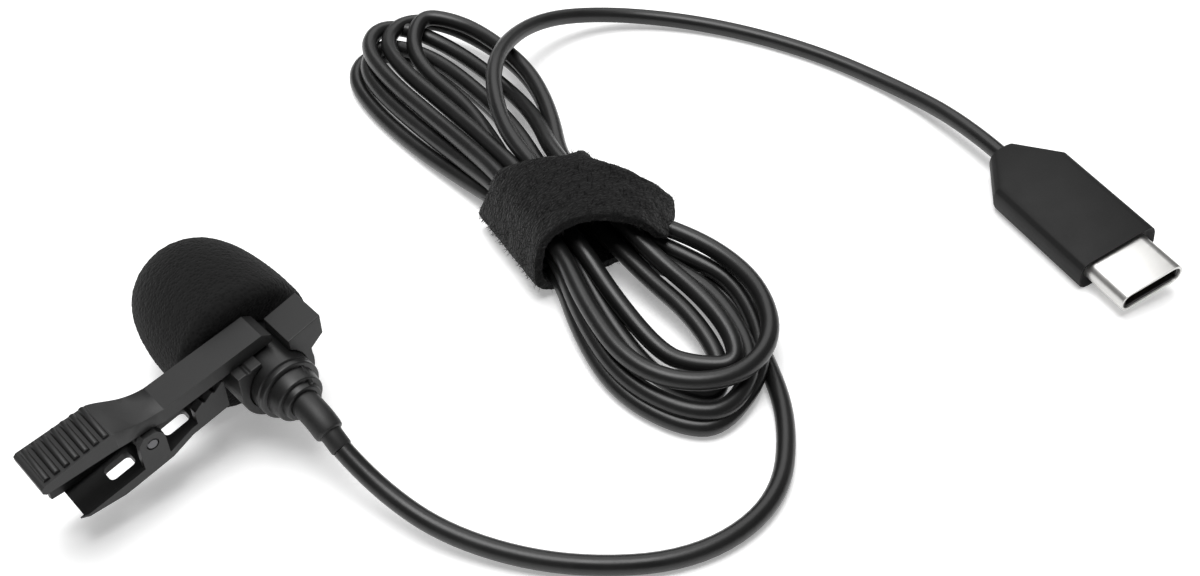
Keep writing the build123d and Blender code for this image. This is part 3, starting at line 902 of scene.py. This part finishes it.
@dataclass
class TieStrap:
    """A hook-and-loop strap wrapped round the hank over its own start, with its rounded tail standing off."""

    flat_width: float = 0.013
    thickness: float = 1.15 * MM
    tail_round: float = 3.8 * MM
    tail_blunt: float = 0.97
    rows: int = 150
    columns: int = 26
    relax: float = 0.3
    rumple: tuple[tuple[float, float], ...] = ((900, 0.1 * MM), (3600, 0.09 * MM))
    fibres: int = 3600
    fibre_lean: float = 0.75
    fibre_tall: tuple[float, float] = (0.35 * MM, 0.8 * MM)
    fibre_radii: tuple[float, float] = (0.036 * MM, 0.016 * MM)
    stations: tuple[StrapStation, ...] = (
        StrapStation(-4.2, -0.6, 8.35, 0, 9.0),
        StrapStation(0.0, -0.6, 8.45, 0, 9.0),
        StrapStation(4.6, -0.7, 8.1, 0, 10.2),
        StrapStation(6.2, -0.6, 6.4, 0, 11.2),
        StrapStation(6.35, -0.3, 3.4, 0, 12.2),
        StrapStation(5.0, -0.3, 1.0, 0, 13.6),
        StrapStation(0.0, -0.4, 0.74, 0, 13.8),
        StrapStation(-5.3, -0.4, 0.85, 0, 13.8),
        StrapStation(-7.5, -0.5, 2.3, 0, 13.8),
        StrapStation(-7.3, -0.7, 5.2, 3, 12.7),
        StrapStation(-6.0, -0.6, 8.2, 8),
        StrapStation(-3.4, -1.7, 10.0, 16, 11.6),
        StrapStation(-0.2, -3.3, 10.8, 27, 10.2),
        StrapStation(3.1, -5.9, 10.65, 36, 8.1),
        StrapStation(5.9, -8.1, 9.4, 42, 6.6),
        StrapStation(7.8, -9.3, 7.3, 45, 6.2),
        StrapStation(8.5, -9.6, 5.2, 45, 5.8),
    )

    def station(self, share: float) -> tuple[Vector, float, float]:
        """The strap's middle part of the way along.

        Args:
            share: how far along, from 0 at the hidden start to 1 at the tail.

        Returns:
            The point in the waist's directions, the skew in radians and the width.
        """
        count = len(self.stations) - 1
        place = min(share, 0.99999) * count
        index = int(place)
        t = place - index
        near = [self.stations[min(max(index + step, 0), count)] for step in (-1, 0, 1, 2)]
        weights = (
            (-t + 2 * t**2 - t**3) / 2,
            (2 - 5 * t**2 + 3 * t**3) / 2,
            (t + 4 * t**2 - 3 * t**3) / 2,
            (t**3 - t**2) / 2,
        )
        rows = [(s.across, s.along, s.height, s.skew, s.width) for s in near]
        across, along, height, skew, width = (
            sum(weight * row[item] for weight, row in zip(weights, rows)) for item in range(5)
        )
        return Vector((across, along, height)) * MM, math.radians(skew), width * MM

    def length(self) -> float:
        """The strap's length along its middle."""
        middles = [self.station(step / 200)[0] for step in range(201)]
        return sum((b - a).length for a, b in zip(middles, middles[1:]))

    def build(self) -> list[bpy.types.Object]:
        """Makes the strap and its loose fibres.

        Returns:
            The strap and the fibres.
        """
        waist, length = Waist(), self.length()
        form = bmesh.new()
        bmesh.ops.create_grid(form, x_segments=self.rows, y_segments=self.columns, size=0.5)
        for vertex in form.verts:
            share, side = vertex.co.x + 0.5, vertex.co.y
            place, skew, width = self.station(share)
            left = max(0.0, self.tail_round - (1 - share) * length) / self.tail_round
            half = width * side * math.sqrt(max(0.0, 1 - left**2 * self.tail_blunt))
            place += Vector((math.sin(skew), math.cos(skew), 0)) * half
            vertex.co = waist.point(place.x, place.y, place.z)
        bmesh.ops.recalc_face_normals(form, faces=form.faces)
        bmesh.ops.solidify(form, geom=form.faces[:], thickness=self.thickness)
        bmesh.ops.recalc_face_normals(form, faces=form.faces)
        bmesh.ops.smooth_vert(
            form,
            verts=form.verts,
            factor=self.relax,
            use_axis_x=True,
            use_axis_y=True,
            use_axis_z=True,
        )
        form.normal_update()
        for vertex in form.verts:
            lift = sum(noise.noise(vertex.co * scale) * depth for scale, depth in self.rumple)
            vertex.co += vertex.normal * lift
        form.normal_update()
        area = sum(face.calc_area() for face in form.faces)
        tufts = self.pile(form)
        strap = finished(form, "tie_strap", PILE, Body.MICROPHONE, 70.0)
        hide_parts("tie_band")
        log.info("tie strap: %.1f mm long, faces of %.0f square mm", length / MM, area / MM**2)
        return [strap, tufts]

    def pile(self, form: bmesh.types.BMesh) -> bpy.types.Object:
        """Makes the short loose fibres that stand off the strap.

        Args:
            form: the strap.

        Returns:
            The fibres.
        """
        chance = random.Random(7)
        form.faces.ensure_lookup_table()
        sizes = [face.calc_area() for face in form.faces]
        hairs = bmesh.new()
        for face in chance.choices(form.faces[:], sizes, k=self.fibres):
            lean = Vector([chance.gauss(0, 1) for _ in range(3)]) * self.fibre_lean
            way = (face.normal + lean).normalized()
            if way.dot(face.normal) < 0.15:
                way = (way + face.normal * 0.6).normalized()
            tall = chance.uniform(*self.fibre_tall)
            spot = face.calc_center_median() + way * tall * 0.4
            stand = Matrix.Translation(spot) @ way.to_track_quat("Z", "Y").to_matrix().to_4x4()
            bmesh.ops.create_cone(
                hairs,
                cap_ends=False,
                segments=3,
                radius1=self.fibre_radii[0],
                radius2=self.fibre_radii[1],
                depth=tall,
                matrix=stand,
            )
        return finished(hairs, "tie_strap_fibres", FIBRE, Body.MICROPHONE)


# ---------------------------------------------------------------- foam windscreen


@dataclass
class Windscreen:
    """The foam cover that pulls off the microphone's front: a blunt egg with a bore."""

    blunt: float = 3.2
    rim: float = 1.3 * MM
    lip: float = 0.4 * MM
    seat: float = 0.3 * MM
    around: int = 300
    cell: float = 0.42 * MM
    pit: float = 0.1 * MM
    pit_middle: float = 0.75
    swell: float = 0.12 * MM
    swell_scale: float = 160.0
    steps: int = 130

    def build(self) -> bpy.types.Object:
        """Makes the foam.

        Returns:
            The foam.
        """
        low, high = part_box("foam_windscreen")
        centre = (low + high) / 2
        radius = (high.x - low.x) / 2
        bore = (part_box("front_housing")[1].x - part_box("front_housing")[0].x) / 2
        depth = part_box("capsule_grille")[1].y + self.seat
        back = low.y
        power, long = 2 / self.blunt, high.y - low.y
        outline = []
        for step in range(self.steps + 1):
            angle = math.pi / 2 * step / self.steps
            along = back + long * math.cos(angle) ** power if step < self.steps else back
            if along > back + self.rim:
                outline.append((along, radius * math.sin(angle) ** power))
        outline += corner(back + self.rim, radius - self.rim, 90, 90, self.rim, 12)
        outline += corner(back + self.lip, bore + self.lip, 180, 90, self.lip, 4)
        outline += [(depth, bore), (depth, 0.0)]
        form = turned(outline, Vector((centre.x, 0, centre.z)), self.around)
        form.normal_update()
        for vertex in form.verts:
            out = math.hypot(vertex.co.x - centre.x, vertex.co.z - centre.z)
            if vertex.co.y > depth or out > bore + self.lip:
                near = noise.voronoi(vertex.co / self.cell)[0][0]
                swell = noise.noise(vertex.co * self.swell_scale) * self.swell
                vertex.co += vertex.normal * ((near - self.pit_middle) * self.pit + swell)
        piece = finished(form, "foam_cover", FOAM, Body.WINDSCREEN, 180.0)
        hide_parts("foam_windscreen")
        return piece


# ---------------------------------------------------------------- microphone's rear


@dataclass
class RearCap:
    """The stepped cap behind the barrel, its rib and the strain relief that grips the cord."""

    round: float = 0.16 * MM
    around: int = 96
    spigot: float = 3.05 * MM
    spigot_bore: float = 2.3 * MM
    bore: float = 1.55 * MM
    steps_behind: tuple[float, float] = (0.7 * MM, 2.3 * MM)
    step_radii: tuple[float, float, float, float] = (2.8 * MM, 2.6 * MM, 2.1 * MM, 2.0 * MM)
    rib_thick: float = 0.42 * MM
    rib_tall: float = 1.3 * MM
    rib_middle: float = 2.45 * MM
    rib_fall: float = 0.8 * MM
    rib_turn: float = 35.0
    sleeve_round: float = 0.25 * MM
    grip: float = 0.6 * MM
    thick: float = 6.1 * MM
    long: float = 8.03 * MM
    tail: float = 1.1 * MM
    bend_from: float = -9.9 * MM
    bend_radius: float = 6.0 * MM
    droop: float = 25.0

    def build(self) -> list[bpy.types.Object]:
        """Makes the cap, its rib and the strain relief.

        Returns:
            The pieces.
        """
        low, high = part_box("rear_housing")
        centre = (low + high) / 2
        cap = self.cap(low.y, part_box("front_housing")[0].y, high.y, centre)
        return [cap, self.rib(centre), self.sleeve(centre)]

    def cap(self, back: float, seam: float, front: float, centre: Vector) -> bpy.types.Object:
        """Makes the stepped cap.

        Args:
            back: its rear end along the axis.
            seam: where it meets the barrel.
            front: the end of its spigot.
            centre: a point on the axis.

        Returns:
            The cap.
        """
        widest = (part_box("rear_housing")[1].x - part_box("rear_housing")[0].x) / 2
        r = self.round
        first, second = (seam - behind for behind in self.steps_behind)
        neck, waist, collar, heel = self.step_radii
        outline = [(front, self.spigot_bore), (front, self.spigot), (seam, self.spigot)]
        outline += corner(seam - r, widest - r, 0, 90, r)
        outline += corner(first + r, widest - r, 90, 90, r)
        outline += corner(first - r, neck - r, 45, 45, r)
        outline += corner(second + r, waist - r, 90, 90, r)
        outline += [(second, collar)]
        outline += corner(back + r, heel - r, 90, 90, r)
        outline += [(back, self.bore), (seam, self.bore)]
        form = turned(outline, Vector((centre.x, 0, centre.z)), self.around)
        piece = finished(form, "rear_cap", HOUSING, Body.MICROPHONE, 40.0)
        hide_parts("rear_housing")
        return piece

    def rib(self, centre: Vector) -> bpy.types.Object:
        """Makes the thin key along the cap.

        Args:
            centre: the cap's middle.

        Returns:
            The rib.
        """
        back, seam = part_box("rear_housing")[0].y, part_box("front_housing")[0].y
        form = bmesh.new()
        size = Matrix.Diagonal((self.rib_thick, seam - back - 0.5 * MM, self.rib_tall, 1))
        lift = Matrix.Translation((0, (seam + back) / 2, self.rib_middle))
        bmesh.ops.create_cube(form, size=1.0, matrix=lift @ size)
        rear = [v for v in form.verts if v.co.y < (seam + back) / 2 and v.co.z > self.rib_middle]
        bmesh.ops.translate(form, vec=(0, 0, -self.rib_fall), verts=rear)
        rounded(form, form.edges[:], 0.08 * MM, 2)
        spin = Matrix.Rotation(math.radians(self.rib_turn), 4, "Y")
        form.transform(Matrix.Translation((centre.x, 0, centre.z)) @ spin)
        return finished(form, "rear_cap_rib", HOUSING, Body.MICROPHONE)

    def sleeve(self, centre: Vector) -> bpy.types.Object:
        """Makes the strain relief, which droops with the cord.

        Args:
            centre: a point on the axis.

        Returns:
            The strain relief.
        """
        low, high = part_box("strain_relief")
        radius, r, grip = (high.x - low.x) / 2, self.sleeve_round, self.grip
        step = high.y - self.thick
        end = high.y - self.long
        outline = [(high.y, grip), (high.y, radius)]
        outline += [(high.y - share * (self.thick - 2 * r), radius) for share in (0.3, 0.5, 0.7, 0.85, 1)]
        outline += corner(step + r, radius - r - 0.04 * MM, 90, 90, r)
        outline += [(step, self.tail + 0.06 * MM), (step - 0.3 * MM, self.tail), (end + 0.2 * MM, self.tail)]
        outline += [(end, self.tail - 0.1 * MM), (end, grip)]
        form = turned(outline, Vector((centre.x, 0, centre.z)), self.around)
        for vertex in form.verts:
            vertex.co = self.drooped(vertex.co, centre.z)
        piece = finished(form, "cord_sleeve", SLEEVE_BLACK, Body.MICROPHONE, 40.0)
        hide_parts("strain_relief")
        return piece

    def drooped(self, point: Vector, height: float) -> Vector:
        """Bends the straight strain relief downwards.

        Args:
            point: a point of the straight form.
            height: the axis's height.

        Returns:
            The point where it lies.
        """
        past = self.bend_from - point.y
        if past <= 0:
            return point.copy()
        most = math.radians(self.droop)
        turn = min(past / self.bend_radius, most)
        straight = past - turn * self.bend_radius
        along = self.bend_radius * math.sin(turn) + straight * math.cos(turn)
        fall = self.bend_radius * (1 - math.cos(turn)) + straight * math.sin(turn)
        above = point.z - height
        return Vector(
            (
                point.x,
                self.bend_from - along - above * math.sin(turn),
                height - fall + above * math.cos(turn),
            )
        )


# ---------------------------------------------------------------- plug


@dataclass
class Plug:
    """The moulded USB-C plug: a flat body with a tapered tail and a drawn steel shell."""

    width: float = 10.4 * MM
    height: float = 4.0 * MM
    body: float = 15.0 * MM
    taper: float = 5.0 * MM
    out: float = 5.4 * MM
    tail: tuple[float, float] = (3.8 * MM, 3.1 * MM)
    round: float = 1.25 * MM
    soft: float = 0.12 * MM
    rim: float = 0.75 * MM
    recess: float = 0.55 * MM
    shell_back: float = 9.0 * MM
    shell_size: tuple[float, float] = (8.34 * MM, 2.56 * MM)
    wall: float = 0.28 * MM
    mouth: float = 6.4 * MM
    board: float = 5.15 * MM

    def stand(self) -> Matrix:
        """The plug's own frame: its shoulder at the origin, x forward, z through its top."""
        board = middle("plug_board")
        forward = (middle("plug_shell") - board).normalized()
        up = (middle("plug_contacts_upper") - middle("plug_contacts_lower")).normalized()
        shoulder = board - forward * self.board
        turn = Matrix((forward, up.cross(forward), up)).transposed()
        return Matrix.Translation(shoulder) @ turn.to_4x4()

    def build(self) -> list[bpy.types.Object]:
        """Makes the body and the shell.

        Returns:
            The new pieces and the plug's CAD pieces.
        """
        names = ("plug_insulator", "plug_contacts_upper", "plug_contacts_lower", "plug_latch_springs")
        inside = ("plug_board", "plug_adc_chip", "plug_passives")
        kept = [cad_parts[name] for name in (*names, *inside)]
        return [self.overmould(), self.shell(), *kept]

    def overmould(self) -> bpy.types.Object:
        """Makes the moulded body.

        Returns:
            The body.
        """
        form = bmesh.new()
        size = Matrix.Diagonal((self.body, self.width, self.height, 1))
        bmesh.ops.create_cube(form, size=1.0, matrix=Matrix.Translation((self.body / 2, 0, 0)) @ size)
        rear = min(form.faces, key=lambda face: face.calc_center_median().x)
        tail = bmesh.ops.extrude_discrete_faces(form, faces=[rear])["faces"][0]
        bmesh.ops.translate(form, vec=(-self.taper, 0, 0), verts=tail.verts)
        narrow = Matrix.Diagonal((1, self.tail[0] / self.width, self.tail[1] / self.height, 1))
        bmesh.ops.transform(form, matrix=narrow, verts=tail.verts)
        bmesh.ops.remove_doubles(form, verts=form.verts, dist=0.001 * MM)
        bmesh.ops.recalc_face_normals(form, faces=form.faces)
        long, slant = [], []
        for edge in form.edges:
            rear_x, front_x = sorted(vertex.co.x for vertex in edge.verts)
            if rear_x > -1e-6 and edge.calc_length() > 0.9 * self.body:
                long.append(edge)
            elif rear_x < -1e-6 < front_x + 1e-5:
                slant.append(edge)
        rounded(form, [*long, *slant], self.round, 3)
        front = max(form.faces, key=lambda face: face.calc_center_median().x)
        bmesh.ops.inset_region(form, faces=[front], thickness=self.rim, use_even_offset=True)
        bmesh.ops.translate(form, vec=(-self.recess, 0, 0), verts=front.verts)
        sharp = [e for e in form.edges if e.is_manifold and e.calc_face_angle(0) > math.radians(18)]
        rounded(form, sharp, self.soft, 2)
        form.transform(self.stand())
        bmesh.ops.recalc_face_normals(form, faces=form.faces)
        piece = finished(form, "plug_body", PLUG_BLACK, Body.MICROPHONE, 30.0)
        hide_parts("plug_overmould")
        return piece

    def shell(self) -> bpy.types.Object:
        """Makes the drawn steel shell.

        Returns:
            The shell.
        """
        low, tip = self.shell_back, self.body + self.out
        wide, tall = self.shell_size
        form = bmesh.new()
        size = Matrix.Diagonal((tip - low, wide, tall, 1))
        bmesh.ops.create_cube(form, size=1.0, matrix=Matrix.Translation(((tip + low) / 2, 0, 0)) @ size)
        long = [e for e in form.edges if e.calc_length() > wide * 1.2]
        rounded(form, long, tall / 2 * 0.985, 8)
        bmesh.ops.remove_doubles(form, verts=form.verts, dist=0.001 * MM)
        front = max(form.faces, key=lambda face: face.calc_center_median().x)
        bmesh.ops.inset_region(form, faces=[front], thickness=self.wall, use_even_offset=True)
        floor = bmesh.ops.extrude_discrete_faces(form, faces=[front])["faces"][0]
        bmesh.ops.translate(form, vec=(-self.mouth, 0, 0), verts=floor.verts)
        bmesh.ops.remove_doubles(form, verts=form.verts, dist=0.001 * MM)
        bmesh.ops.delete(form, geom=[floor], context="FACES_ONLY")
        rear = min(form.faces, key=lambda face: face.calc_center_median().x)
        bmesh.ops.inset_region(form, faces=[rear], thickness=self.wall, use_even_offset=True)
        rim = [e for e in form.edges if all(abs(v.co.x - tip) < 1e-6 for v in e.verts)]
        rounded(form, rim, 0.07 * MM, 2)
        form.transform(self.stand())
        piece = finished(form, "plug_shell_drawn", SHELL_STEEL, Body.MICROPHONE, 30.0)
        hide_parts("plug_shell")
        return piece


# ---------------------------------------------------------------- kept CAD nodes


@dataclass
class FramePieces:
    """The CAD pieces that stay, each with its own finish and the edges of the larger ones softened."""

    join: float = 0.002 * MM
    crease: float = 30.0

    def dress(self) -> None:
        """Gives every kept piece its finish."""
        for name, finish in NODE_FINISHES.items():
            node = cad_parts[name]
            if not node.material_slots:
                node.data.materials.append(None)
            for place in node.material_slots:
                place.link = "OBJECT"
                place.material = finish.material()
            if name in SOFTENED:
                self.soften(node, SOFTENED[name])
            log.info("%s: dressed in %s", name, finish.name)

    def soften(self, node: bpy.types.Object, width: float) -> None:
        """Rounds a piece's edges without changing its mesh.

        Args:
            node: the piece.
            width: how far each round reaches.
        """
        weld = node.modifiers.new("join", "WELD")
        weld.merge_threshold = self.join
        bevel = node.modifiers.new("edges", "BEVEL")
        bevel.width = width
        bevel.segments = 2
        bevel.limit_method = "ANGLE"
        bevel.angle_limit = math.radians(self.crease)
        bevel.harden_normals = True


def main() -> None:
    """Builds the object and its studio, in order."""
    logging.basicConfig(level=logging.INFO, format="%(name)s: %(message)s")
    Studio().build()
    plug_pieces = Plug().build()
    Cord().build(plug_pieces)
    TieStrap().build()
    Windscreen().build()
    RearCap().build()
    FramePieces().dress()


if __name__ == "__main__":
    main()
